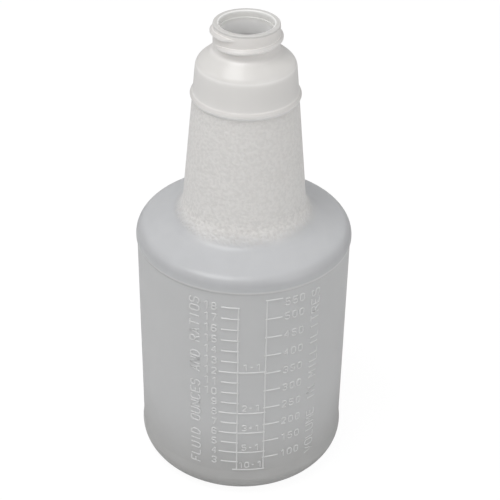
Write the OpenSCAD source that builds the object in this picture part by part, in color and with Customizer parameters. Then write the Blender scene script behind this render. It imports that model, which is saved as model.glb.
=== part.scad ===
// Graduated bottle for a screw-on sprayer or cap, blown in one piece from milky plastic.
// It has a 28 mm screw neck, a tapered grip with a fill ring, a sloping shoulder,
// a round body with a raised scale, and a base that is pushed up in the middle.
// The bottle stands on z = 0 with its axis on Z. The scale faces -Y.

/* [Body] */
// Diameter of the body on its scale panel
body_d = 86.1; // [76:0.1:96]
// Height at which the panel begins, above the base band
panel_bottom_z = 13.7; // [13.3:0.1:16]
// Height of plain panel above the last millilitre line
panel_margin = 3.06; // [2:0.01:5]
// How far the bands above and below the panel stand proud of it
band_proud = 0.45; // [0.1:0.05:1.2]
// Height of the slope from the panel down to the base band
base_ramp = 3.7; // [1:0.1:3.8]
// Height of the slope from the panel up to the shoulder band
shoulder_ramp = 0.9; // [0.6:0.1:1.2]
// Wall thickness of the body
body_wall = 0.9; // [0.6:0.05:1.6]

/* [Base] */
// Width of the rounded heel, from the standing ring out to the base band
heel_w = 10.5; // [6:0.1:14]
// Height of the rounded heel
heel_h = 9.4; // [6:0.1:9.5]
// Width of the flat ring that the bottle stands on
standing_ring_w = 2.5; // [1.5:0.1:5]
// Height of the push-up in the middle of the base
push_up_h = 7; // [3:0.1:12]
// Wall thickness of the base
base_wall = 1.2; // [0.8:0.05:2]

/* [Shoulder] */
// Height from the end of the panel to where the shoulder's slope would meet the body's side
shoulder_band_h = 5.4; // [5:0.1:7]
// Height that the shoulder's slope rises, from the body's side to the grip
shoulder_rise = 6.7; // [5:0.1:9]
// Radius of the rounded shoulder corner
shoulder_r = 6; // [2:0.1:7]
// Radius of the hollow where the shoulder turns up into the grip
grip_root_r = 10; // [3:0.5:14]

/* [Grip and dome] */
// Diameter of the grip at its foot
grip_foot_d = 50; // [44:0.1:56]
// Diameter of the grip under the fill ring
grip_top_d = 40.6; // [36:0.1:43]
// Depth of the fill ring, which marks a full bottle, under the dome's edge
fill_ring_drop = 13; // [8:0.1:20]
// How far the fill ring stands proud
fill_ring_proud = 0.95; // [0.3:0.05:2]
// Height of the fill ring's section
fill_ring_h = 2.8; // [1.5:0.1:4]
// Diameter of the neck where it rounds into the dome
dome_d = 38.1; // [34:0.1:41]
// Depth of the dome's edge under the foot of the neck finish
dome_drop = 5.55; // [4.5:0.05:8]
// Radius of the dome's rounded edge
dome_r = 4.6; // [1:0.1:5]
// Wall thickness of the grip and the dome
grip_wall = 1.3; // [0.8:0.05:2]

/* [Screw neck] */
// Height of the lip above the surface the bottle stands on
bottle_h = 197.7; // [185:0.1:225]
// Diameter of the neck finish between its threads
finish_d = 25.1; // [24.75:0.05:25.25]
// Height of the neck finish, from its foot to the lip
finish_h = 10.15; // [9.65:0.05:10.3]
// Diameter over the thread
thread_d = 27.4; // [27.15:0.05:27.65]
// Pitch of the thread, six turns to the inch
thread_pitch = 4.23; // [3:0.01:5]
// Turn of the thread, in degrees
thread_turn = 405; // [360:5:430]
// Direction in which the thread begins, from the front round to the right
thread_start = -65; // [-180:5:180]
// Depth of the thread's middle under the lip, where it first passes the front
thread_drop = 6.4; // [6:0.05:7]
// Width of the thread at its root
thread_root_w = 2.4; // [1.6:0.05:2.8]
// Width of the thread's flat crest
thread_crest_w = 0.9; // [0.3:0.05:1.2]
// Diameter of the bore through the neck
bore_d = 20; // [18:0.1:21]
// Diameter of the shallow seat inside the lip
lip_seat_d = 20.7; // [20.2:0.1:22.5]
// Depth of the shallow seat inside the lip
lip_seat_h = 2.6; // [1:0.1:4]

/* [Scale] */
// How far the lines and numerals stand proud of the panel
relief = 0.35; // [0.15:0.05:0.8]
// Width of a scale line
line_w = 0.65; // [0.3:0.05:1]
// Direction of the upright line beside the ounces
left_rail_az = -2; // [-8:0.1:2]
// Direction of the upright line beside the millilitres
right_rail_az = 12.7; // [10:0.1:18]
// Length of an ounce line
oz_tick_l = 6.6; // [3:0.1:8]
// How much further the mixing lines reach past the ounce lines
mix_tick_extra = 0.9; // [0:0.1:2]
// How far the lowest mixing line reaches past its upright line
mix_low_reach = 1.8; // [0.6:0.1:3]
// How far each level line runs past the middle of its upright line
line_overrun = 0.55; // [0.4:0.05:1]
// Length of a millilitre line
ml_tick_l = 6.3; // [3:0.1:9]
// First and last ounce lines
oz_range = [3, 18]; // [2:1:18]
// Millilitre lines, from the first to the last
ml_range = [100, 550]; // [100:50:550]
// Step between millilitre lines
ml_step = 50; // [25:25:100]
// Ounces at which the mixing lines cross, one for each ratio
mix_oz = [12, 8, 6, 4, 2.18]; // [2:0.01:18]
// The ratios that stand on the mixing lines
mix_labels = ["1-1", "2-1", "3-1", "5-1", "10-1"]; // digits and dashes, one label for each mixing line

/* [Numerals] */
// Height of a numeral
numeral_h = 3.6; // [2:0.1:4.5]
// Width of a numeral
numeral_w = 2.3; // [1.5:0.1:3]
// Distance from one numeral to the next
numeral_pitch = 3.2; // [3.1:0.1:4]
// Width of a numeral's stroke
stroke_w = 0.5; // [0.3:0.05:0.7]
// Distance from an ounce line's end to the nearest numeral
oz_numeral_gap = 1.7; // [0.5:0.1:3]
// Distance from a millilitre line's end to the nearest numeral
ml_numeral_gap = 0.9; // [0.5:0.1:3]
// How far the last millilitre numeral sits below its line
top_label_drop = 2.1; // [0:0.1:3]
// Size of a ratio's numerals beside the others
ratio_scale = 0.9; // [0.6:0.05:1]
// Height of a ratio's foot above its line
ratio_lift = 1; // [0.7:0.1:2]

/* [Hidden] */
$fn = 96;
ML_PER_OZ = 29.5735;
ARC_STEP = 10;
PUSH_UP_STEPS = 6;
FINE_R = 1;
LIP_R = 0.5;
SINK = 0.4;
THREAD_STEP = 9;
THREAD_FADE = 35;

panel_r = body_d / 2;
band_r = panel_r + band_proud;
heel_in_r = band_r - heel_w;
ring_in_r = heel_in_r - standing_ring_w;
finish_r = finish_d / 2;
finish_z = bottle_h - finish_h;
dome_z = finish_z - dome_drop;
fill_ring_z = dome_z - fill_ring_drop;
bore_r = bore_d / 2;
lip_seat_r = lip_seat_d / 2;

// Height of a filling, from the area inside the panel and what the shaped base takes away
inside_r = panel_r - body_wall;
inside_area = PI * inside_r * inside_r;
push_up_volume = PI * push_up_h * (3 * ring_in_r * ring_in_r + push_up_h * push_up_h) / 6;
heel_section = (1 - PI / 4) * (heel_w - body_wall) * (heel_h - base_wall);
heel_volume = heel_section * 2 * PI * (inside_r - heel_w * 0.22);
band_volume = 2 * PI * inside_r * band_proud * (panel_bottom_z - base_ramp / 2 - base_wall);
scale_zero_z = base_wall + (push_up_volume + heel_volume - band_volume) / inside_area;

function ml_z(ml) = scale_zero_z + ml * 1000 / inside_area;

function oz_z(oz) = ml_z(oz * ML_PER_OZ);

// The panel ends a little above its last line, and the shoulder follows it
panel_top_z = ml_z(ml_range[1]) + panel_margin;
shoulder_z = panel_top_z + shoulder_band_h;
grip_foot_z = shoulder_z + shoulder_rise;

// The wall from the heel up to the foot of the neck finish: radius, height, corner radius, wall
profile = [
    [band_r, heel_h, 0, body_wall],
    [band_r, panel_bottom_z - base_ramp, FINE_R, body_wall],
    [panel_r, panel_bottom_z, FINE_R, body_wall],
    [panel_r, panel_top_z, FINE_R, body_wall],
    [band_r, panel_top_z + shoulder_ramp, FINE_R / 2, body_wall],
    [band_r, shoulder_z, shoulder_r, body_wall],
    [grip_foot_d / 2, grip_foot_z, grip_root_r, grip_wall],
    [grip_top_d / 2, fill_ring_z, 0, grip_wall],
    [dome_d / 2, dome_z, dome_r, grip_wall],
    [finish_r, finish_z, dome_r / 3, grip_wall],
    [finish_r, bottle_h, 0, grip_wall],
];

function unit(v) = v / norm(v);

function left_of(v) = [-v[1], v[0]];

// Sideways step, to the left of the path, that keeps both edges at point i one unit away
function mitre(path, i) =
    let (before = unit(path[max(i, 1)] - path[max(i, 1) - 1]))
    let (last = len(path) - 1)
    let (after = unit(path[min(i, last - 1) + 1] - path[min(i, last - 1)]))
    let (way = unit(left_of(before) + left_of(after)))
    way / (way * left_of(before));

// Arc that rounds the corner b between a and c, no longer than its two sides allow
function fillet(a, b, c, r) =
    let (to_a = unit(a - b))
    let (to_c = unit(c - b))
    let (half = acos(to_a * to_c) / 2)
    let (reach = min(r / tan(half), 0.94 * norm(a - b), 0.45 * norm(c - b)))
    let (centre = b + unit(to_a + to_c) * reach / cos(half))
    let (first = b + to_a * reach - centre)
    let (last = b + to_c * reach - centre)
    let (start = atan2(first[1], first[0]))
    let (turn = atan2(cross(first, last), first * last))
    let (steps = ceil(abs(turn) / ARC_STEP))
    let (r_fit = norm(first))
    [for (k = [0 : steps]) let (a = start + turn * k / steps) centre + r_fit * [cos(a), sin(a)]];

// Path with each inner corner rounded by its own radius
function rounded(path, radii) = [
    for (i = [0 : len(path) - 1])
        each i == 0 || i == len(path) - 1 || radii[i] == 0
            ? [path[i]]
            : fillet(path[i - 1], path[i], path[i + 1], radii[i])
];

// Quarter ellipse of the heel, from the standing ring up to the side
function heel(w, h, foot_z) = [
    for (a = [-90 : ARC_STEP : -ARC_STEP]) [heel_in_r + w * cos(a), foot_z + h * (1 + sin(a))]
];

// Shallow spherical push-up, from the axis out to the standing ring
function push_up(rim_r, rise, foot_z) =
    let (ball_r = (rim_r * rim_r + rise * rise) / (2 * rise))
    [for (k = [0 : PUSH_UP_STEPS])
        let (r = rim_r * k / PUSH_UP_STEPS)
        [r, foot_z + rise - ball_r + sqrt(ball_r * ball_r - r * r)]];

outline = [for (p = profile) [p[0], p[1]]];
seat_z = bottle_h - lip_seat_h;
outer_path = concat(
    push_up(ring_in_r, push_up_h, 0),
    heel(heel_w, heel_h, 0),
    rounded(
        concat(outline, [[lip_seat_r, bottle_h], [lip_seat_r, seat_z]]),
        concat([for (i = [0 : len(profile) - 2]) profile[i][2]], [LIP_R, LIP_R, 0])
    )
);

// The cavity's corners lie one wall inside the profile's, as far as the dome
dome_i = len(profile) - 3;
inner_corners = [for (i = [0 : dome_i]) outline[i] + mitre(outline, i) * profile[i][3]];
dome_way = unit(outline[dome_i + 1] - outline[dome_i]);
dome_in = outline[dome_i] + left_of(dome_way) * grip_wall;
bore_end_z = dome_in[1] + dome_way[1] * (bore_r - dome_in[0]) / dome_way[0];
inner_path = concat(
    push_up(ring_in_r, push_up_h, base_wall),
    heel(heel_w - body_wall, heel_h - base_wall, base_wall),
    rounded(
        concat(inner_corners, [[bore_r, bore_end_z], [bore_r, seat_z]]),
        concat([for (i = [0 : dome_i]) profile[i][2]], [FINE_R, 0])
    )
);

// Angle that a length covers round the panel
function az(length) = length / panel_r * 180 / PI;

// Strokes of a numeral, as points on a grid 4 wide and 6 high; a ring ends where it begins
function numeral(c) =
    c == "0" ? [[[0, 1], [1, 0], [3, 0], [4, 1], [4, 5], [3, 6], [1, 6], [0, 5], [0, 1]]]
    : c == "1" ? [[[2, 0], [2, 6]], [[0.7, 4.8], [2, 5.6]]]
    : c == "2" ? [[[0, 5], [1, 6], [3, 6], [4, 5], [4, 4], [0.4, 0], [4, 0]]]
    : c == "3" ? [
        [[0, 5], [1, 6], [3, 6], [4, 5], [4, 4], [3, 3], [4, 2], [4, 1], [3, 0], [1, 0], [0, 1]],
        [[1.6, 3], [3, 3]]]
    : c == "4" ? [[[3, 0], [3, 6]], [[3, 5.6], [0.4, 2], [4, 2]]]
    : c == "5" ? [[[4, 6], [0.4, 6], [0, 3.3], [3, 3.3], [4, 2.4], [4, 1], [3, 0], [1, 0], [0, 1]]]
    : c == "6" ? [
        [[0, 1], [1, 0], [3, 0], [4, 1], [4, 2.4], [3, 3.4], [1, 3.4], [0, 2.4], [0, 1]],
        [[0, 2], [0, 5], [1, 6], [3, 6], [4, 5]]]
    : c == "7" ? [[[0, 6], [3.8, 6], [1.5, 0]]]
    : c == "8" ? [
        [[0, 1], [1, 0], [3, 0], [4, 1], [4, 2], [3, 3], [4, 4], [4, 5], [3, 6], [1, 6],
         [0, 5], [0, 4], [1, 3], [0, 2], [0, 1]],
        [[1, 3], [3, 3]]]
    : c == "9" ? [
        [[0, 3.6], [1, 2.6], [3, 2.6], [4, 3.6], [4, 5], [3, 6], [1, 6], [0, 5], [0, 3.6]],
        [[4, 4], [4, 1], [3, 0], [1, 0], [0, 1]]]
    : [[[0.8, 3], [3.2, 3]]];

// Band of the stroke's width along a path of points, closed where the path is a ring
module stroke(path) {
    last = len(path) - 1;
    ring = path[0] == path[last];
    turns = [for (i = [0 : last])
        ring && (i == 0 || i == last) ? mitre([path[last - 1], path[0], path[1]], 1) : mitre(path, i)];
    left = [for (i = [0 : last]) path[i] + turns[i] * stroke_w / 2];
    right = [for (i = [last : -1 : 0]) path[i] - turns[i] * stroke_w / 2];
    if (ring)
        difference() {
            polygon([for (i = [1 : last]) right[i]]);
            polygon([for (i = [1 : last]) left[i]]);
        }
    else
        polygon(concat(left, right));
}

// One numeral, centred on its own middle and standing on y = 0
module flat_numeral(c, size) {
    w = numeral_w * size - stroke_w;
    h = numeral_h * size - stroke_w;
    for (path = numeral(c))
        stroke([for (p = path) [(p[0] / 4 - 0.5) * w, stroke_w / 2 + p[1] / 6 * h]]);
}

// Carries a flat shape onto the panel, in a direction and at a height
module on_panel(direction, z) {
    rotate([0, 0, direction])
        translate([0, SINK - panel_r, z])
            rotate([90, 0, 0])
                linear_extrude(SINK + relief)
                    children();
}

// Row of numerals; its first one is centred at the direction given
module label(word, direction, foot_z, size = 1, pitch = numeral_pitch) {
    for (i = [0 : len(word) - 1])
        on_panel(direction + az(i * pitch), foot_z)
            flat_numeral(word[i], size);
}

// Level line on the panel between two directions
module level_line(from_az, to_az, z) {
    rotate([0, 0, from_az - 90])
        rotate_extrude(angle = to_az - from_az)
            translate([panel_r - SINK, z - line_w / 2])
                square([SINK + relief, line_w]);
}

// Upright line on the panel, between the middles of its first and last level lines
module rail(direction, low_z, high_z) {
    on_panel(direction, low_z)
        translate([-line_w / 2, 0])
            square([line_w, high_z - low_z]);
}

// Ounce lines run left from their upright line; those that a ratio stands on run right as well
module ounce_scale() {
    rail(left_rail_az, oz_z(min(mix_oz)), oz_z(oz_range[1]));
    for (oz = [oz_range[0] : oz_range[1]]) {
        word = str(oz);
        mixing = len(search(oz, mix_oz)) > 0;
        reach = oz_tick_l + (mixing ? mix_tick_extra : 0);
        last_az = (mixing ? right_rail_az : left_rail_az) + az(line_overrun);
        unit_az = left_rail_az - az(oz_tick_l + oz_numeral_gap + numeral_w / 2);
        level_line(left_rail_az - az(reach), last_az, oz_z(oz));
        label(word, unit_az - az((len(word) - 1) * numeral_pitch), oz_z(oz) - numeral_h / 2);
    }
}

module millilitre_scale() {
    rail(right_rail_az, oz_z(min(mix_oz)), ml_z(ml_range[1]));
    for (ml = [ml_range[0] : ml_step : ml_range[1]]) {
        drop = ml == ml_range[1] ? top_label_drop : 0;
        first_az = right_rail_az + az(ml_tick_l + ml_numeral_gap + numeral_w / 2);
        level_line(right_rail_az - az(line_overrun), right_rail_az + az(ml_tick_l), ml_z(ml));
        label(str(ml), first_az, ml_z(ml) - numeral_h / 2 - drop);
    }
}

// Ratios between the upright lines, each on its line, and the lowest line, which has no ounce
module mixing_scale() {
    middle_az = (left_rail_az + right_rail_az) / 2;
    pitch = numeral_pitch * ratio_scale * ratio_scale;
    level_line(left_rail_az - az(mix_low_reach), right_rail_az + az(line_overrun), oz_z(min(mix_oz)));
    for (i = [0 : len(mix_oz) - 1]) {
        word = mix_labels[i];
        first_az = middle_az - az((len(word) - 1) * pitch / 2);
        label(word, first_az, oz_z(mix_oz[i]) + ratio_lift, ratio_scale, pitch);
    }
}

// Section of the thread at a turn: its height fades to nothing at both ends
function thread_section(turn) =
    let (to_end = min(turn, thread_turn - turn))
    let (fade = min(1, max(0.02, to_end / THREAD_FADE)))
    let (crest_r = finish_r + (thread_d / 2 - finish_r) * fade)
    let (root_r = finish_r - SINK)
    let (z = bottle_h - thread_drop + thread_pitch * (thread_start + turn) / 360)
    let (a = thread_start + turn - 90)
    let (root = thread_root_w / 2)
    let (crest = thread_crest_w / 2)
    [for (p = [[root_r, -root], [crest_r, -crest], [crest_r, crest], [root_r, root]])
        [p[0] * cos(a), p[0] * sin(a), z + p[1]]];

module thread() {
    steps = ceil(thread_turn / THREAD_STEP);
    points = [for (k = [0 : steps]) each thread_section(thread_turn * k / steps)];
    sides = [for (k = [0 : steps - 1], s = [0 : 3])
        let (low = 4 * k + s)
        let (high = 4 * k + (s + 1) % 4)
        each [[low, high, low + 4], [high, high + 4, low + 4]]];
    tail = 4 * steps;
    ends = [[2, 1, 0], [3, 2, 0], [tail, tail + 1, tail + 2], [tail, tail + 2, tail + 3]];
    polyhedron(points, concat(sides, ends), convexity = 4);
}

// Bead round the grip that marks a full bottle
module fill_ring() {
    rotate_extrude()
        polygon([for (a = [-90 : 18 : 90])
            [grip_top_d / 2 - SINK + (SINK + fill_ring_proud) * cos(a),
             fill_ring_z + fill_ring_h / 2 * sin(a)]]);
}

// The blown wall, open at the lip
module shell() {
    difference() {
        rotate_extrude()
            polygon(concat(outer_path, [[0, seat_z]]));
        rotate_extrude()
            polygon(concat(inner_path, [[0, seat_z]]));
    }
}

module bottle() {
    color([0.9, 0.91, 0.92])
        union() {
            shell();
            fill_ring();
            thread();
            ounce_scale();
            millilitre_scale();
            mixing_scale();
        }
}

bottle();
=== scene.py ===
import math

import bpy
from mathutils import Matrix, Vector


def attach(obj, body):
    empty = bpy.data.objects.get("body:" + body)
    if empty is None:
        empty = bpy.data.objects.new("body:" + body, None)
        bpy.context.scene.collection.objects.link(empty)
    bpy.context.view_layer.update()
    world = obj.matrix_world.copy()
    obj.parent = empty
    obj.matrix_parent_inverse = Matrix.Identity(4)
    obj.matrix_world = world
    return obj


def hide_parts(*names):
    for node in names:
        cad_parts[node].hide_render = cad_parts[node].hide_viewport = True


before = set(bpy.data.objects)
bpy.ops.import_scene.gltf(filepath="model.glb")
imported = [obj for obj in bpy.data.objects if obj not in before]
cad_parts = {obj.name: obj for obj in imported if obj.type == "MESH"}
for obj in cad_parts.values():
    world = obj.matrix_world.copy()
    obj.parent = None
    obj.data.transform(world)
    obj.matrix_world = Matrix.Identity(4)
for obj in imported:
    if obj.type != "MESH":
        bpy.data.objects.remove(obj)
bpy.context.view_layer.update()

MM = 0.001
WELD = MM / 1000
FINE_WELD = MM / 10000

# The bottle's sizes, in millimetres
BODY_R = 43.05
BAND_R = BODY_R + 0.45
PANEL_BOTTOM_Z = 13.7
BASE_RAMP = 3.7
BASE_RAMP_R = 3
PANEL_TOP_Z = 105.2
SHOULDER_RAMP = 0.9
HEEL_W = 10.5
HEEL_H = 9.4
STANDING_RING_W = 2.5
PUSH_UP_H = 7.0
BASE_WALL = 1.2
BODY_WALL = 0.9
GRIP_WALL = 1.3
SHOULDER_Z = 110.6
SHOULDER_R = 6.0
GRIP_FOOT_R = 25.0
GRIP_FOOT_Z = 117.3
GRIP_ROOT_R = 10.0
FILL_RING_Z = 169.0
FILL_RING_PROUD = 0.95
FILL_RING_IN_PROUD = FILL_RING_PROUD * 0.4
FILL_RING_HALF = 1.9
DOME_R = 19.05
DOME_Z = 182.0
DOME_EDGE_R = 4.6
BOTTLE_H = 197.7
FINISH_R = 12.55
FINISH_Z = BOTTLE_H - 10.15
FINISH_FOOT_R = 1.5
BORE_R = 10.0
LIP_SEAT_R = 10.35
LIP_SEAT_H = 2.6
LIP_EDGE_R = 0.5
FINE_R = 1.0
HEEL_IN_R = BAND_R - HEEL_W
RING_IN_R = HEEL_IN_R - STANDING_RING_W

# The thread
THREAD_R = 13.7
THREAD_PITCH = 4.23
THREAD_TURN = 405
THREAD_START = -65
THREAD_DROP = 6.4
THREAD_ROOT_HALF = 1.2
THREAD_CREST_HALF = 0.5
THREAD_SINK = 0.5
THREAD_SINK_SPREAD = 0.2
THREAD_FOOT_OUT = 0.1
THREAD_EDGE_OUT = 0.2
THREAD_EDGE_UP = 0.25
THREAD_FADE = 35
THREAD_END_PROUD = 0.03
THREAD_END_W = 0.4
THREAD_STEP = 5

# The scale; directions are degrees from the front round to the right
ML_PER_OZ = 29.5735
LEFT_RAIL = -2.0
RIGHT_RAIL = 12.7
OZ_LINE_L = 6.6
MIX_LINE_EXTRA = 0.9
MIX_LOW_REACH = 1.8
LINE_OVERRUN = 0.55
ML_LINE_L = 6.3
LINE_R = 0.33
STROKE_R = 0.29
NUMERAL_W = 1.8
NUMERAL_H = 3.1
NUMERAL_PITCH = 3.2
OZ_NUMERAL_GAP = 1.7
ML_NUMERAL_GAP = 0.9
TOP_LABEL_DROP = 2.1
RATIO_SIZE = 0.9
RATIO_PITCH = 2.6
RATIO_LIFT = 1.0
MIXING = {12: "1-1", 8: "2-1", 6: "3-1", 4: "5-1", 2.18: "10-1"}
OUNCES = range(3, 19)
MILLILITRES = range(100, 551, 50)

# The two upright lines of words
WORD_H = 4.0
WORD_FILL = 0.68
WORD_LOW_Z = 15.8
WORD_HIGH_Z = 101.8
LEFT_WORD = ("FLUID OUNCES AND RATIOS", -25.4)
RIGHT_WORD = ("VOLUME IN MILLILITRES", 41.2)

# How fine the meshes are: rows in millimetres, and arcs, level lines and the smoothed edges in degrees
TURN_STEPS = 192
PUSH_UP_STEPS = 16
SWELL_STEPS = 8
ROW_H = 2.4
INSIDE_ROW_H = 3 * ROW_H
ARC_STEP = 6
LEVEL_STEP = 1.5
SMOOTH_ANGLE = 38

# The shares of its two sides that a rounding may take
SHARE_BEFORE = 0.94
SHARE_AFTER = 0.48


def unit(v):
    return v / v.length


def left_of(v):
    return Vector((-v.y, v.x))


def mitre(path, i):
    """Sideways step to the left of the path that keeps both of a corner's edges one unit away."""
    before = unit(path[max(i, 1)] - path[max(i, 1) - 1])
    j = min(i, len(path) - 2)
    after = unit(path[j + 1] - path[j])
    way = unit(left_of(before) + left_of(after))
    return way / way.dot(left_of(before))


def fillet(a, b, c, r, step=ARC_STEP):
    """Arc that rounds the corner b between a and c, no longer than its two sides allow."""
    to_a = unit(a - b)
    to_c = unit(c - b)
    half = math.acos(max(-1, min(1, to_a.dot(to_c)))) / 2
    reach = min(r / math.tan(half), SHARE_BEFORE * (a - b).length, SHARE_AFTER * (c - b).length)
    centre = b + unit(to_a + to_c) * reach / math.cos(half)
    first = b + to_a * reach - centre
    last = b + to_c * reach - centre
    start = math.atan2(first.y, first.x)
    turn = math.atan2(first.x * last.y - first.y * last.x, first.dot(last))
    steps = max(2, math.ceil(abs(math.degrees(turn)) / step))
    angles = [start + turn * k / steps for k in range(steps + 1)]
    return [centre + first.length * Vector((math.cos(t), math.sin(t))) for t in angles]


def rounded(path, radii, step=ARC_STEP):
    """The path with each of its inner corners rounded by a radius."""
    out = []
    for i, p in enumerate(path):
        if i in (0, len(path) - 1) or radii[i] == 0:
            out.append(p)
        else:
            out += fillet(path[i - 1], p, path[i + 1], radii[i], step)
    return out


def in_rows(path, row):
    """The path with its long sides divided into rows, so that no face is long and thin."""
    out = [path[0]]
    for a, b in zip(path, path[1:]):
        n = max(1, round((b - a).length / row))
        out += [a + (b - a) * k / n for k in range(1, n + 1)]
    return out


def push_up(rise, foot_z):
    """Shallow spherical push-up, from the axis out to the standing ring."""
    ball = (RING_IN_R ** 2 + rise ** 2) / (2 * rise)
    radii = [RING_IN_R * k / PUSH_UP_STEPS for k in range(PUSH_UP_STEPS + 1)]
    return [Vector((r, foot_z + rise - ball + math.sqrt(ball ** 2 - r ** 2))) for r in radii]


def heel(w, h, foot_z):
    """Quarter ellipse from the standing ring up to the side."""
    angles = [math.radians(a) for a in range(-90, -1, ARC_STEP)]
    return [Vector((HEEL_IN_R + w * math.cos(a), foot_z + h * (1 + math.sin(a)))) for a in angles]


def ringed(path, low, high, proud):
    """The path with the fill ring's swell, with soft feet, on its line from low to high."""
    swell = []
    for k in range(-SWELL_STEPS, SWELL_STEPS + 1):
        z = FILL_RING_Z + FILL_RING_HALF * k / SWELL_STEPS
        r = low.x + (high.x - low.x) * (z - low.y) / (high.y - low.y)
        lift = proud * (1 + math.cos(math.pi * k / SWELL_STEPS)) / 2
        swell.append(Vector((r + lift, z)))
    below = [p for p in path if p.y < swell[0].y]
    above = [p for p in path if p.y > swell[-1].y]
    return below + swell + above


def wall_path():
    """The section's outside, from the axis under the base to the seat in the lip, and its inside."""
    # Each corner's radius and height, its rounding and the wall behind it
    corners = [
        (BAND_R, HEEL_H, 0, BODY_WALL),
        (BAND_R, PANEL_BOTTOM_Z - BASE_RAMP, BASE_RAMP_R, BODY_WALL),
        (BODY_R, PANEL_BOTTOM_Z, BASE_RAMP_R, BODY_WALL),
        (BODY_R, PANEL_TOP_Z, FINE_R, BODY_WALL),
        (BAND_R, PANEL_TOP_Z + SHOULDER_RAMP, FINE_R / 2, BODY_WALL),
        (BAND_R, SHOULDER_Z, SHOULDER_R, BODY_WALL),
        (GRIP_FOOT_R, GRIP_FOOT_Z, GRIP_ROOT_R, GRIP_WALL),
        (DOME_R, DOME_Z, DOME_EDGE_R, GRIP_WALL),
        (FINISH_R, FINISH_Z, FINISH_FOOT_R, GRIP_WALL),
        (FINISH_R, BOTTLE_H, LIP_EDGE_R, GRIP_WALL),
    ]
    line = [Vector(c[:2]) for c in corners]
    radii = [c[2] for c in corners]
    foot = line.index(Vector((GRIP_FOOT_R, GRIP_FOOT_Z)))
    dome = foot + 1
    lip = [Vector((LIP_SEAT_R, BOTTLE_H)), Vector((LIP_SEAT_R, BOTTLE_H - LIP_SEAT_H))]
    outside = rounded(line + lip, radii + [LIP_EDGE_R, 0])
    inner = [line[i] + mitre(line, i) * corners[i][3] for i in range(dome + 1)]
    way = unit(line[dome + 1] - line[dome])
    start = line[dome] + left_of(way) * GRIP_WALL
    bore_end = start + way * (BORE_R - start.x) / way.x
    seat = Vector((BORE_R, BOTTLE_H - LIP_SEAT_H))
    inside = rounded(inner + [bore_end, seat], radii[:dome + 1] + [FINE_R, 0])
    outside = ringed(outside, line[foot], line[dome], FILL_RING_PROUD)
    inside = ringed(inside, inner[foot], inner[dome], FILL_RING_IN_PROUD)
    under = push_up(PUSH_UP_H, 0) + heel(HEEL_W, HEEL_H, 0)
    over = push_up(PUSH_UP_H, BASE_WALL) + heel(HEEL_W - BODY_WALL, HEEL_H - BASE_WALL, BASE_WALL)
    return in_rows(under + outside, ROW_H), in_rows(over + inside, INSIDE_ROW_H)


def deselect_all():
    bpy.ops.object.select_all(action="DESELECT")


def pick(*objects):
    deselect_all()
    for obj in objects:
        obj.select_set(True)
    bpy.context.view_layer.objects.active = objects[0]


def turned_wall():
    """The wall: its section is drawn point by point and spun round the axis."""
    outside, inside = wall_path()
    section = [Vector((p.x, 0, p.y)) * MM for p in outside + inside[::-1]]
    deselect_all()
    bpy.ops.mesh.primitive_plane_add(size=MM, location=section[0])
    wall = bpy.context.object
    wall.name = "bottle_wall"
    bpy.ops.object.transform_apply(location=True)
    bpy.ops.object.mode_set(mode="EDIT")
    bpy.ops.mesh.merge(type="CENTER")
    here = section[0]
    for point in section[1:]:
        bpy.ops.mesh.extrude_vertices_move(TRANSFORM_OT_translate={"value": point - here})
        here = point
    bpy.ops.mesh.select_all(action="SELECT")
    bpy.ops.mesh.spin(steps=TURN_STEPS, angle=2 * math.pi, center=(0, 0, 0), axis=(0, 0, 1))
    bpy.ops.mesh.select_all(action="SELECT")
    bpy.ops.mesh.remove_doubles(threshold=WELD)
    bpy.ops.mesh.normals_make_consistent(inside=False)
    bpy.ops.object.mode_set(mode="OBJECT")
    return wall


def on_bottle(radius, direction, z):
    """Place on a round surface, from a direction in degrees and a height, in metres."""
    a = math.radians(direction)
    return Vector((radius * math.sin(a), -radius * math.cos(a), z)) * MM


def around(length):
    """Degrees that a length covers round the panel."""
    return math.degrees(length / BODY_R)


# Height at which the scale starts: the base and the push-up take volume away, and the low band adds some
QUARTER_ROUND_MIDDLE = 0.22
inside_r = BODY_R - BODY_WALL
inside_area = math.pi * inside_r ** 2
push_up_volume = math.pi * PUSH_UP_H * (3 * RING_IN_R ** 2 + PUSH_UP_H ** 2) / 6
heel_section = (1 - math.pi / 4) * (HEEL_W - BODY_WALL) * (HEEL_H - BASE_WALL)
heel_volume = heel_section * 2 * math.pi * (inside_r - HEEL_W * QUARTER_ROUND_MIDDLE)
band_h = PANEL_BOTTOM_Z - BASE_RAMP / 2 - BASE_WALL
band_volume = 2 * math.pi * inside_r * (BAND_R - BODY_R) * band_h
scale_zero_z = BASE_WALL + (push_up_volume + heel_volume - band_volume) / inside_area


def ml_z(ml):
    """Height of the bottle's level when it holds so many millilitres."""
    return scale_zero_z + ml * 1000 / inside_area


def oz_z(oz):
    return ml_z(oz * ML_PER_OZ)


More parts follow.
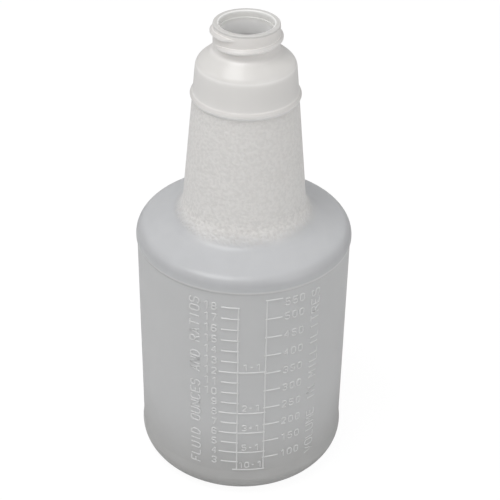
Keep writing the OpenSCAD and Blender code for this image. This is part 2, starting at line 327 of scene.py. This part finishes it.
# Strokes of each sign, as points on a grid of this width and height; a ring ends where it begins
GRID_W = 4
GRID_H = 6
SIGNS = {
    "0": [[(0, 1), (1, 0), (3, 0), (4, 1), (4, 5), (3, 6), (1, 6), (0, 5), (0, 1)]],
    "1": [[(0.7, 5), (3, 6.3), (3, -0.4)]],
    "2": [[(0, 5), (1, 6), (3, 6), (4, 5), (4, 4), (0, 0), (4, 0)]],
    "3": [[(0, 5), (1, 6), (3, 6), (4, 5), (4, 4), (3, 3.1), (1.6, 3.1)],
          [(3, 3.1), (4, 2), (4, 1), (3, 0), (1, 0), (0, 1)]],
    "4": [[(3, 0), (3, 6), (0, 2), (4, 2)]],
    "5": [[(4, 6), (0.4, 6), (0, 3.3), (3, 3.4), (4, 2.4), (4, 1), (3, 0), (1, 0), (0, 1)]],
    "6": [[(4, 5), (3, 6), (1, 6), (0, 5), (0, 2.4)],
          [(0, 1), (1, 0), (3, 0), (4, 1), (4, 2.4), (3, 3.4), (1, 3.4), (0, 2.4), (0, 1)]],
    "7": [[(0, 6), (4, 6), (1.5, 0)]],
    "8": [[(0, 1), (1, 0), (3, 0), (4, 1), (4, 2.2), (3, 3.1), (1, 3.1), (0, 2.2), (0, 1)],
          [(0.3, 4), (1, 3.1), (3, 3.1), (3.7, 4), (3.7, 5.2), (3, 6), (1, 6), (0.3, 5.2), (0.3, 4)]],
    "9": [[(0, 3.6), (1, 2.6), (3, 2.6), (4, 3.6), (4, 5), (3, 6), (1, 6), (0, 5), (0, 3.6)],
          [(4, 3.6), (4, 1), (3, 0), (1, 0), (0, 1)]],
    "-": [[(0.8, 3), (3.2, 3)]],
    "A": [[(0, 0), (2, 6), (4, 0)], [(0.8, 2), (3.2, 2)]],
    "C": [[(4, 1), (3, 0), (1, 0), (0, 1), (0, 5), (1, 6), (3, 6), (4, 5)]],
    "D": [[(0, 0), (2.4, 0), (4, 1.6), (4, 4.4), (2.4, 6), (0, 6), (0, 0)]],
    "E": [[(4, 0), (0, 0), (0, 6), (4, 6)], [(0, 3), (3, 3)]],
    "F": [[(0, 0), (0, 6), (4, 6)], [(0, 3), (3, 3)]],
    "I": [[(2, 0), (2, 6)]],
    "L": [[(0, 6), (0, 0), (4, 0)]],
    "M": [[(0, 0), (0, 6), (2, 2.4), (4, 6), (4, 0)]],
    "N": [[(0, 0), (0, 6), (4, 0), (4, 6)]],
    "O": [[(0, 1), (1, 0), (3, 0), (4, 1), (4, 5), (3, 6), (1, 6), (0, 5), (0, 1)]],
    "R": [[(0, 0), (0, 6), (3, 6), (4, 5), (4, 4), (3, 3), (0, 3)], [(2, 3), (4, 0)]],
    "S": [[(0, 1), (1, 0), (3, 0), (4, 1), (4, 2.2), (3, 3.1),
           (1, 3.1), (0, 4), (0, 5), (1, 6), (3, 6), (4, 5)]],
    "T": [[(0, 6), (4, 6)], [(2, 6), (2, 0)]],
    "U": [[(0, 6), (0, 1), (1, 0), (3, 0), (4, 1), (4, 6)]],
    "V": [[(0, 6), (2, 0), (4, 6)]],
    " ": [],
}
SIGN_CORNER_R = 0.8
SIGN_ARC_STEP = 25
SHARPEST_BEND = 75


def strokes(letter):
    """The sign's strokes, cut at each corner that is too sharp for a rounded stroke to turn."""
    for path in SIGNS[letter]:
        points = [Vector(p) for p in path]
        start = 0
        for i in range(1, len(points) - 1):
            back, on = points[i - 1] - points[i], points[i + 1] - points[i]
            if math.degrees(back.angle(on)) < SHARPEST_BEND:
                yield points[start:i + 1]
                start = i
        yield points[start:]


class Relief:
    """Rounded strokes that stand on the panel, gathered as the splines of one curve."""

    def __init__(self, name):
        self.curve = bpy.data.curves.new(name, "CURVE")
        self.curve.dimensions = "3D"
        # The bevel is one millimetre deep, so a knot's radius is in millimetres
        self.curve.bevel_depth = MM
        self.curve.bevel_resolution = 2
        self.curve.use_fill_caps = True

    def stroke(self, points, radius):
        """One stroke through places in space; it closes where it ends at its first place."""
        ring = (points[0] - points[-1]).length < WELD
        if ring:
            points = points[:-1]
        spline = self.curve.splines.new("POLY")
        spline.points.add(len(points) - 1)
        for knot, place in zip(spline.points, points):
            knot.co = (*place, 1)
            knot.radius = radius
        spline.use_cyclic_u = ring

    def level(self, from_direction, to_direction, z):
        """A level line round the panel."""
        steps = max(2, math.ceil(abs(to_direction - from_direction) / LEVEL_STEP))
        turn = (to_direction - from_direction) / steps
        places = [on_bottle(BODY_R, from_direction + turn * k, z) for k in range(steps + 1)]
        self.stroke(places, LINE_R)

    def upright(self, direction, low_z, high_z):
        """An upright line on the panel."""
        self.stroke([on_bottle(BODY_R, direction, z) for z in (low_z, high_z)], LINE_R)

    def sign(self, letter, direction, z, w, h, lying=False):
        """One sign; direction and z are the middle of its foot, and a lying one reads upwards."""
        for grid in strokes(letter):
            if grid[0] == grid[-1]:
                middle = (grid[0] + grid[1]) / 2
                grid = [middle] + grid[1:-1] + [grid[0], middle]
            path = rounded(grid, [SIGN_CORNER_R] * len(grid), SIGN_ARC_STEP)
            places = []
            for p in path:
                across = (p.x / GRID_W - 0.5) * w
                up = p.y / GRID_H * h
                if lying:
                    across, up = -up, across
                places.append(on_bottle(BODY_R, direction + around(across), z + up))
            self.stroke(places, STROKE_R)

    def row(self, word, direction, foot_z, size=1, pitch=NUMERAL_PITCH):
        """Row of numerals; its first one is centred at the direction given."""
        for i, letter in enumerate(word):
            place = direction + around(i * pitch)
            self.sign(letter, place, foot_z + STROKE_R, NUMERAL_W * size, NUMERAL_H * size)

    def upright_words(self, words, direction):
        """Words that read upwards, spread between two heights; direction is their middle."""
        pitch = (WORD_HIGH_Z - WORD_LOW_Z) / len(words)
        foot = direction + around(WORD_H / 2)
        for i, letter in enumerate(words):
            z = WORD_LOW_Z + pitch * (i + 0.5)
            self.sign(letter, foot, z, pitch * WORD_FILL, WORD_H, lying=True)

    def pieces(self):
        """The strokes as closed meshes, one object each."""
        obj = bpy.data.objects.new(self.curve.name, self.curve)
        bpy.context.collection.objects.link(obj)
        pick(obj)
        bpy.ops.object.convert(target="MESH")
        bpy.ops.object.mode_set(mode="EDIT")
        bpy.ops.mesh.select_all(action="SELECT")
        bpy.ops.mesh.remove_doubles(threshold=FINE_WELD)
        bpy.ops.mesh.normals_make_consistent(inside=False)
        bpy.ops.mesh.separate(type="LOOSE")
        bpy.ops.object.mode_set(mode="OBJECT")
        return list(bpy.context.selected_objects)


def draw_scale(relief):
    """Lines, numerals and ratios of the two scales."""
    low_z = oz_z(min(MIXING))
    relief.upright(LEFT_RAIL, low_z, oz_z(OUNCES[-1]))
    relief.upright(RIGHT_RAIL, low_z, ml_z(MILLILITRES[-1]))
    overrun = around(LINE_OVERRUN)
    for oz in OUNCES:
        start = LEFT_RAIL - around(OZ_LINE_L + (MIX_LINE_EXTRA if oz in MIXING else 0))
        end = (RIGHT_RAIL if oz in MIXING else LEFT_RAIL) + overrun
        relief.level(start, end, oz_z(oz))
        word = str(oz)
        last = LEFT_RAIL - around(OZ_LINE_L + OZ_NUMERAL_GAP + NUMERAL_W / 2 + STROKE_R)
        first = last - around((len(word) - 1) * NUMERAL_PITCH)
        relief.row(word, first, oz_z(oz) - NUMERAL_H / 2 - STROKE_R)
    for ml in MILLILITRES:
        relief.level(RIGHT_RAIL - overrun, RIGHT_RAIL + around(ML_LINE_L), ml_z(ml))
        first = RIGHT_RAIL + around(ML_LINE_L + ML_NUMERAL_GAP + NUMERAL_W / 2 + STROKE_R)
        drop = TOP_LABEL_DROP if ml == MILLILITRES[-1] else 0
        relief.row(str(ml), first, ml_z(ml) - NUMERAL_H / 2 - STROKE_R - drop)
    relief.level(LEFT_RAIL - around(MIX_LOW_REACH), RIGHT_RAIL + overrun, low_z)
    middle = (LEFT_RAIL + RIGHT_RAIL) / 2
    for oz, word in MIXING.items():
        first = middle - around((len(word) - 1) * RATIO_PITCH / 2)
        relief.row(word, first, oz_z(oz) + RATIO_LIFT, RATIO_SIZE, RATIO_PITCH)


def thread_ridge():
    """The screw thread, ring by ring along its helix, because the section flattens out at both ends."""
    rise = THREAD_R - FINISH_R
    low_half = [
        (-THREAD_SINK, -THREAD_ROOT_HALF - THREAD_SINK_SPREAD),
        (THREAD_FOOT_OUT, -THREAD_ROOT_HALF),
        (rise - THREAD_EDGE_OUT, -THREAD_CREST_HALF),
        (rise, -THREAD_CREST_HALF + THREAD_EDGE_UP),
    ]
    outline = low_half + [(out, -up) for out, up in reversed(low_half)]
    steps = THREAD_TURN // THREAD_STEP
    points = []
    faces = []
    for k in range(steps + 1):
        turn = k * THREAD_STEP
        fade = min(1, max(THREAD_END_PROUD, min(turn, THREAD_TURN - turn) / THREAD_FADE))
        fade = math.sin(fade * math.pi / 2)
        width = THREAD_END_W + (1 - THREAD_END_W) * fade
        z = BOTTLE_H - THREAD_DROP + THREAD_PITCH * (THREAD_START + turn) / 360
        for out, up in outline:
            lift = out * fade if out > 0 else out
            points.append(on_bottle(FINISH_R + lift, THREAD_START + turn, z + up * width))
    n = len(outline)
    for k in range(steps):
        for s in range(n):
            a = k * n + s
            b = k * n + (s + 1) % n
            faces.append((a, b, b + n, a + n))
    faces.append(tuple(range(n))[::-1])
    faces.append(tuple(range(steps * n, steps * n + n)))
    mesh = bpy.data.meshes.new("thread_ridge")
    mesh.from_pydata(points, [], faces)
    ridge = bpy.data.objects.new("thread_ridge", mesh)
    bpy.context.collection.objects.link(ridge)
    pick(ridge)
    bpy.ops.object.mode_set(mode="EDIT")
    bpy.ops.mesh.select_all(action="SELECT")
    bpy.ops.mesh.normals_make_consistent(inside=False)
    bpy.ops.object.mode_set(mode="OBJECT")
    return ridge


def united(wall, parts):
    """The wall with the parts fused to it in one skin."""
    group = bpy.data.collections.new("fused")
    bpy.context.scene.collection.children.link(group)
    for part in parts:
        group.objects.link(part)
    pick(wall)
    fuse = wall.modifiers.new("fuse", "BOOLEAN")
    fuse.operation = "UNION"
    fuse.solver = "MANIFOLD"
    fuse.operand_type = "COLLECTION"
    fuse.collection = group
    bpy.ops.object.modifier_apply(modifier=fuse.name)
    pick(*parts)
    bpy.ops.object.delete()
    bpy.data.collections.remove(group)
    pick(wall)
    bpy.ops.object.shade_smooth_by_angle(angle=math.radians(SMOOTH_ANGLE))
    return wall


class Value:
    """A shader socket; Python's arithmetic on it adds Math nodes."""

    def __init__(self, tree, socket):
        self.tree = tree
        self.socket = socket

    def math(self, operation, *terms):
        node = self.tree.nodes.new("ShaderNodeMath")
        node.operation = operation
        for socket, term in zip(node.inputs, terms):
            plug(self.tree, socket, term)
        return Value(self.tree, node.outputs[0])

    def root(self):
        return self.math("SQRT", self)

    def __add__(self, other):
        return self.math("ADD", self, other)

    def __sub__(self, other):
        return self.math("SUBTRACT", self, other)

    def __rsub__(self, other):
        return self.math("SUBTRACT", other, self)

    def __mul__(self, other):
        return self.math("MULTIPLY", self, other)

    __radd__ = __add__
    __rmul__ = __mul__


def plug(tree, socket, value):
    """Links a value to a socket, or sets the socket to a plain number or colour."""
    if isinstance(value, Value):
        tree.links.new(value.socket, socket)
    else:
        socket.default_value = value


class Shader:
    """A node tree that is cleared and filled again."""

    def __init__(self, owner):
        owner.use_nodes = True
        self.tree = owner.node_tree
        self.tree.nodes.clear()

    def node(self, kind, settings=None, inputs=None, out=0):
        """Adds a node: its settings first, then the values or links of its sockets."""
        node = self.tree.nodes.new(kind)
        for name, value in (settings or {}).items():
            setattr(node, name, value)
        for name, value in (inputs or {}).items():
            plug(self.tree, node.inputs[name], value)
        return Value(self.tree, node.outputs[out])

    def mix_colour(self, factor, a, b):
        """Colour a turned to b by a factor; the mix node's colour sockets have to be numbered."""
        return self.node("ShaderNodeMix", {"data_type": "RGBA"}, {0: factor, 6: a, 7: b}, out=2)

    def ramp(self, value, low, high):
        """0 below low and 1 above high, with a soft turn between."""
        return self.node(
            "ShaderNodeMapRange",
            {"interpolation_type": "SMOOTHSTEP"},
            {"Value": value, "From Min": low, "From Max": high},
        )

    def rise(self, value, span):
        """0 below a span of millimetres and 1 above it."""
        return self.ramp(value, span[0] * MM, span[1] * MM)

    def within(self, value, first, last):
        """1 between two spans of millimetres, fading over each of them."""
        return self.rise(value, first) * (1 - self.rise(value, last))

    def noise(self, place, size, detail):
        """Noise whose grains are about a size across, in millimetres."""
        inputs = {"Vector": place, "Scale": 1 / (size * MM), "Detail": detail}
        return self.node("ShaderNodeTexNoise", None, inputs)

    def output(self, surface, kind="ShaderNodeOutputMaterial"):
        node = self.tree.nodes.new(kind)
        self.tree.links.new(surface.socket, node.inputs["Surface"])


# Colours of the milky plastic, going up, and of its fine parts, with painted light and shade among them
BODY_TONE = (0.66, 0.665, 0.668, 1)
BODY_LOW_TONE = (0.445, 0.44, 0.43, 1)
BAND_TONE = (0.57, 0.58, 0.59, 1)
EDGE_SHADE_TONE = (0.49, 0.495, 0.507, 1)
SHOULDER_TONE = (0.53, 0.537, 0.55, 1)
GRIP_TONE = (0.86, 0.84, 0.815, 1)
COLLAR_TONE = (0.835, 0.815, 0.79, 1)
DOME_TONE = (0.70, 0.685, 0.665, 1)
FINISH_TONE = (0.83, 0.81, 0.79, 1)
LIP_SHADE_TONE = (0.57, 0.56, 0.545, 1)
LEDGE_LIGHT_TONE = (0.80, 0.795, 0.78, 1)
LIT_SLOPE_SHADE_TONE = (0.60, 0.585, 0.57, 1)
PAINTED_LIGHT_TONE = (1.0, 0.98, 0.96, 1)
PIT_SHADE_TONE = (0.60, 0.585, 0.57, 1)
RELIEF_HIGHLIGHT_TONE = (0.79, 0.79, 0.79, 1)
BORE_LIGHT_TONE = (0.95, 0.94, 0.92, 1)
MOTTLE_TONE = (0.8, 0.8, 0.8, 1)

# Heights over which each colour takes over from the one below
LOW_TO = (4, 45)
BAND_FROM = (PANEL_TOP_Z + 0.4, PANEL_TOP_Z + 1.4)
EDGE_SHADE_FROM = (PANEL_TOP_Z + 1.6, PANEL_TOP_Z + 4)
SHOULDER_FROM = (SHOULDER_Z - 0.3, SHOULDER_Z + 1.7)
GRIP_FROM = (GRIP_FOOT_Z - 2, GRIP_FOOT_Z + 6)
COLLAR_FROM = (FILL_RING_Z - 1, FILL_RING_Z + 5)
DOME_FROM = (DOME_Z - 1.5, DOME_Z + 1)
FINISH_FROM = (FINISH_Z - 1.55, FINISH_Z + 0.45)
LIP_SHADE_FROM = (BOTTLE_H - 1.2, BOTTLE_H - 0.4)
LEDGE_FROM = (BOTTLE_H - LIP_SEAT_H - 1.6, BOTTLE_H - LIP_SEAT_H - 0.1)
BORE_FROM = (DOME_Z + 1, DOME_Z + 6)

# Heights over which the fine parts begin and end
RAISED_FROM = (PANEL_BOTTOM_Z - 0.7, PANEL_BOTTOM_Z + 1.3)
RAISED_TO = (PANEL_TOP_Z + 0.8, PANEL_TOP_Z + 1.8)
STIPPLE_FROM = (GRIP_FOOT_Z - 1, GRIP_FOOT_Z + 1)
STIPPLE_TO = (FILL_RING_Z - 2.2, FILL_RING_Z - 1.4)
ROOT_TO = (GRIP_FOOT_Z + 2, GRIP_FOOT_Z + 12)
RING_FROM = (FILL_RING_Z - 3, FILL_RING_Z - 2)
RING_TO = (FILL_RING_Z + 2.5, FILL_RING_Z + 3.5)
CREASE_HIGHLIGHT_FROM = (DOME_Z - 1.1, DOME_Z - 0.6)
CREASE_HIGHLIGHT_TO = (DOME_Z - 0.4, DOME_Z + 0.1)
THREAD_FROM = (FINISH_Z + 0.25, FINISH_Z + 0.75)

# Distances from the axis, and for the fill ring from the grip's line, over which the fine parts begin
RAISED_OUT = (BODY_R + 0.06, BODY_R + 0.22)
BORE_OUT = (BORE_R + 0.5, BORE_R + 1)
THREAD_OUT = (FINISH_R + 0.1, FINISH_R + 0.35)
RING_OUT = (0.05, 0.5)

# How much of each colour is mixed in; a slope counts in full from SLOPE_FULL of the upright
LOW_SHARE = 0.8
CREASE_HIGHLIGHT_SHARE = 0.3
LIT_SLOPE_SHADE_SHARE = 0.7
MOTTLE_SHARE = 0.03
CLOUD_SHARE = 0.25
FINE_CLOUD_SHARE = 0.12
PIT_SHADE_SHARE = 0.22
ROOT_PIT_SHADE_SHARE = 0.2
SLOPE_FULL = 0.5

# Sizes of the clouds and the grain, and how far the colour's edge at the grip's foot wanders
CLOUD = 22
FINE_CLOUD = 5
PEEL = 3
GRAIN = 1.3
PIT = 1.1
GRIP_EDGE_WANDER = 6

# How high the grain stands, how rough the surface is and how far light spreads in it
GRAIN_BETWEEN = (0.38, 0.62)
PIT_HEIGHT = 0.7
STIPPLE_HEIGHT = 0.7
ROOT_HEIGHT = 0.5
PEEL_HEIGHT = 0.05
BUMP_H = 0.3
ROUGH = 0.34
STIPPLE_ROUGH = 0.18
CLOUD_ROUGH = 0.1
LIGHT_SPREAD = 2.5
LIGHT_SPREAD_SHARE = 0.8
PLASTIC_IOR = 1.5


def milky_plastic():
    """Milky polyethylene: thin and bluish in the body, thicker, whiter and stippled in the grip, with
    painted light and shade in its colour.
    """
    material = bpy.data.materials.new("milky_plastic")
    s = Shader(material)
    place = s.node("ShaderNodeTexCoord", out="Object")
    x, y, z = [s.node("ShaderNodeSeparateXYZ", None, {0: place}, out=axis) for axis in "XYZ"]
    facing = s.node("ShaderNodeTexCoord", out="Normal")
    facing_up = s.node("ShaderNodeSeparateXYZ", None, {0: facing}, out="Z")
    from_axis = (x * x + y * y).root()
    cloud = s.noise(place, CLOUD, 3)
    fine_cloud = s.noise(place, FINE_CLOUD, 3)

    # The body turns darker towards the bottom
    tone = s.mix_colour((1 - s.rise(z, LOW_TO)) * LOW_SHARE, BODY_TONE, BODY_LOW_TONE)
    tone = s.mix_colour(s.rise(z, BAND_FROM), tone, BAND_TONE)
    # Painted shade: a darker band on the lower part of the shoulder's rounded corner
    tone = s.mix_colour(s.rise(z, EDGE_SHADE_FROM), tone, EDGE_SHADE_TONE)
    tone = s.mix_colour(s.rise(z, SHOULDER_FROM), tone, SHOULDER_TONE)
    wandering_z = z + (cloud - 0.5) * GRIP_EDGE_WANDER * MM
    tone = s.mix_colour(s.rise(wandering_z, GRIP_FROM), tone, GRIP_TONE)
    tone = s.mix_colour(s.rise(z, COLLAR_FROM), tone, COLLAR_TONE)
    tone = s.mix_colour(s.rise(z, DOME_FROM), tone, DOME_TONE)
    # Painted highlight: a thin light line at the dome's foot
    tone = s.mix_colour(s.within(z, CREASE_HIGHLIGHT_FROM, CREASE_HIGHLIGHT_TO) * CREASE_HIGHLIGHT_SHARE, tone, PAINTED_LIGHT_TONE)
    tone = s.mix_colour(s.rise(z, FINISH_FROM), tone, FINISH_TONE)
    # Painted shade: the lip's top is darkened against its highlight
    tone = s.mix_colour(s.rise(z, LIP_SHADE_FROM), tone, LIP_SHADE_TONE)
    mottle = (cloud - 0.5) * CLOUD_SHARE + (fine_cloud - 0.5) * FINE_CLOUD_SHARE
    tone = s.mix_colour(mottle + MOTTLE_SHARE, tone, MOTTLE_TONE)
    # Painted highlight: the raised lines, numerals and words are lightened
    raised_highlight = s.rise(from_axis, RAISED_OUT) * s.within(z, RAISED_FROM, RAISED_TO)
    tone = s.mix_colour(raised_highlight, tone, RELIEF_HIGHLIGHT_TONE)
    # Painted light: the inside of the mouth is lightened as if lit through the wall, less at the top by
    # the seat
    mouth_light = (1 - s.rise(from_axis, BORE_OUT)) * s.rise(z, BORE_FROM)
    tone = s.mix_colour(mouth_light, tone, BORE_LIGHT_TONE)
    tone = s.mix_colour(mouth_light * s.rise(z, LEDGE_FROM), tone, LEDGE_LIGHT_TONE)

    # Painted shade on the up-facing, lit slopes of the fill ring and the thread, and painted light on
    # their down-facing slopes, flatten their light and shade, as light spreading in the plastic would on
    # a narrow ridge
    taper = (GRIP_FOOT_R - DOME_R) / (DOME_Z - GRIP_FOOT_Z)
    grip_line = GRIP_FOOT_R * MM - (z - GRIP_FOOT_Z * MM) * taper
    ring = s.rise(from_axis - grip_line, RING_OUT) * s.within(z, RING_FROM, RING_TO)
    thread = s.rise(from_axis, THREAD_OUT) * s.rise(z, THREAD_FROM)
    ridge = ring + thread
    tone = s.mix_colour(ridge * s.ramp(facing_up, 0, SLOPE_FULL) * LIT_SLOPE_SHADE_SHARE, tone, LIT_SLOPE_SHADE_TONE)
    tone = s.mix_colour(ridge * s.ramp(0 - facing_up, 0, SLOPE_FULL), tone, PAINTED_LIGHT_TONE)

    stippled = s.within(z, STIPPLE_FROM, STIPPLE_TO)
    root = 1 - s.rise(z, ROOT_TO)
    grain = s.noise(place, GRAIN, 2)
    pit_inputs = {"Vector": place, "Scale": 1 / (PIT * MM)}
    pits = s.node("ShaderNodeTexVoronoi", {"feature": "SMOOTH_F1"}, pit_inputs)
    peel = s.noise(place, PEEL, 2)
    # Painted shade in the stipple's pits, stronger at the grip's root
    pit_shade = stippled * (PIT_SHADE_SHARE + root * ROOT_PIT_SHADE_SHARE) * (1 - s.ramp(grain, *GRAIN_BETWEEN))
    tone = s.mix_colour(pit_shade, tone, PIT_SHADE_TONE)
    height = stippled * (STIPPLE_HEIGHT + root * ROOT_HEIGHT) * (grain + pits * PIT_HEIGHT)
    height = height + peel * PEEL_HEIGHT
    bump = s.node("ShaderNodeBump", None, {"Height": height, "Strength": 1.0, "Distance": BUMP_H * MM})
    rough = ROUGH + stippled * STIPPLE_ROUGH + (fine_cloud - 0.5) * CLOUD_ROUGH
    surface = s.node(
        "ShaderNodeBsdfPrincipled",
        None,
        {
            "Base Color": tone,
            "Roughness": rough,
            "IOR": PLASTIC_IOR,
            "Subsurface Weight": LIGHT_SPREAD_SHARE,
            "Subsurface Radius": (1.0, 1.0, 1.0),
            "Subsurface Scale": LIGHT_SPREAD * MM,
            "Normal": bump,
        },
    )
    s.output(surface)
    return material


wall = turned_wall()
relief = Relief("relief")
draw_scale(relief)
relief.upright_words(*LEFT_WORD)
relief.upright_words(*RIGHT_WORD)
bottle = united(wall, relief.pieces() + [thread_ridge()])
bottle.name = "bottle_skin"
bottle.data.name = "bottle_skin"
bottle.data.materials.clear()
bottle.data.materials.append(milky_plastic())
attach(bottle, "root")
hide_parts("bottle")


# The stand-in studio: a pale floor, a pale surround and soft square lamps
FLOOR_W = 8
FLOOR_GREY = 0.55
FLOOR_GLOW = 1.11
FLOOR_GLOW_SHARE = 0.85
SURROUND_LIGHT = 0.54
SURROUND_SEEN = 1.0
LAMP_AIM = Vector((0, 0, 0.1))
LAMPS = {
    "lamp_key": ((-0.37, -0.31, 1.14), 0.5, 5.15),
    "lamp_left": ((-0.92, -0.03, 0.79), 0.12, 0.5),
    "lamp_front": ((0, -0.49, 1.14), 0.5, 1.1),
    "lamp_right": ((0.76, -0.64, 0.68), 0.5, 1.65),
}


def grey(value):
    return (value, value, value, 1)


def pale_floor():
    """The floor; the camera sees it nearly white, and the bottle is lit by its grey."""
    deselect_all()
    bpy.ops.mesh.primitive_plane_add(size=FLOOR_W, location=(0, 0, 0))
    floor = bpy.context.object
    floor.name = "floor"
    material = bpy.data.materials.new("pale_floor")
    s = Shader(material)
    seen = s.node("ShaderNodeLightPath", out="Is Camera Ray")
    matt = s.node("ShaderNodeBsdfDiffuse", None, {"Color": grey(FLOOR_GREY)})
    white = s.node("ShaderNodeEmission", None, {"Color": grey(1), "Strength": FLOOR_GLOW})
    s.output(s.node("ShaderNodeMixShader", None, {0: seen * FLOOR_GLOW_SHARE, 1: matt, 2: white}))
    floor.data.materials.append(material)


def surround():
    """The surround; the camera sees it white, and it lights the bottle more softly."""
    world = bpy.data.worlds.new("surround")
    bpy.context.scene.world = world
    s = Shader(world)
    seen = s.node("ShaderNodeLightPath", out="Is Camera Ray")
    soft = s.node("ShaderNodeBackground", None, {"Color": grey(1), "Strength": SURROUND_LIGHT})
    white = s.node("ShaderNodeBackground", None, {"Color": grey(1), "Strength": SURROUND_SEEN})
    s.output(s.node("ShaderNodeMixShader", None, {0: seen, 1: soft, 2: white}), "ShaderNodeOutputWorld")


def lamp(name, place, size, power):
    """A soft square lamp, turned to the bottle's middle."""
    data = bpy.data.lights.new(name, "AREA")
    data.shape = "SQUARE"
    data.size = size
    data.energy = power
    obj = bpy.data.objects.new(name, data)
    bpy.context.collection.objects.link(obj)
    obj.location = place
    obj.rotation_euler = (LAMP_AIM - Vector(place)).to_track_quat("-Z", "Y").to_euler()


# The photograph's view: its distance, height angle, aim and focal length, found from the outline
VIEW_DISTANCE = 0.5397
VIEW_ELEVATION = 34.38
VIEW_AIM = Vector((0.0026, 0, 0.09663))
VIEW_ROLL = 0.98
FOCAL_PIXELS = 1319.3
FRAME_PIXELS = 500
SENSOR_W = 36
NEAREST_SEEN = 0.01


def photo_camera():
    """The camera in front of the bottle, tilted down and rolled a little."""
    data = bpy.data.cameras.new("view")
    data.sensor_width = SENSOR_W
    data.lens = FOCAL_PIXELS / FRAME_PIXELS * SENSOR_W
    data.clip_start = NEAREST_SEEN
    camera = bpy.data.objects.new("view", data)
    bpy.context.collection.objects.link(camera)
    tilt = math.radians(VIEW_ELEVATION)
    camera.location = VIEW_AIM + VIEW_DISTANCE * Vector((0, -math.cos(tilt), math.sin(tilt)))
    look = Matrix.Rotation(math.radians(90) - tilt, 4, "X")
    camera.rotation_euler = (look @ Matrix.Rotation(math.radians(VIEW_ROLL), 4, "Z")).to_euler()
    bpy.context.scene.camera = camera


pale_floor()
surround()
for name, (place, size, power) in LAMPS.items():
    lamp(name, place, size, power)
photo_camera()
bpy.context.scene.view_settings.view_transform = "Standard"
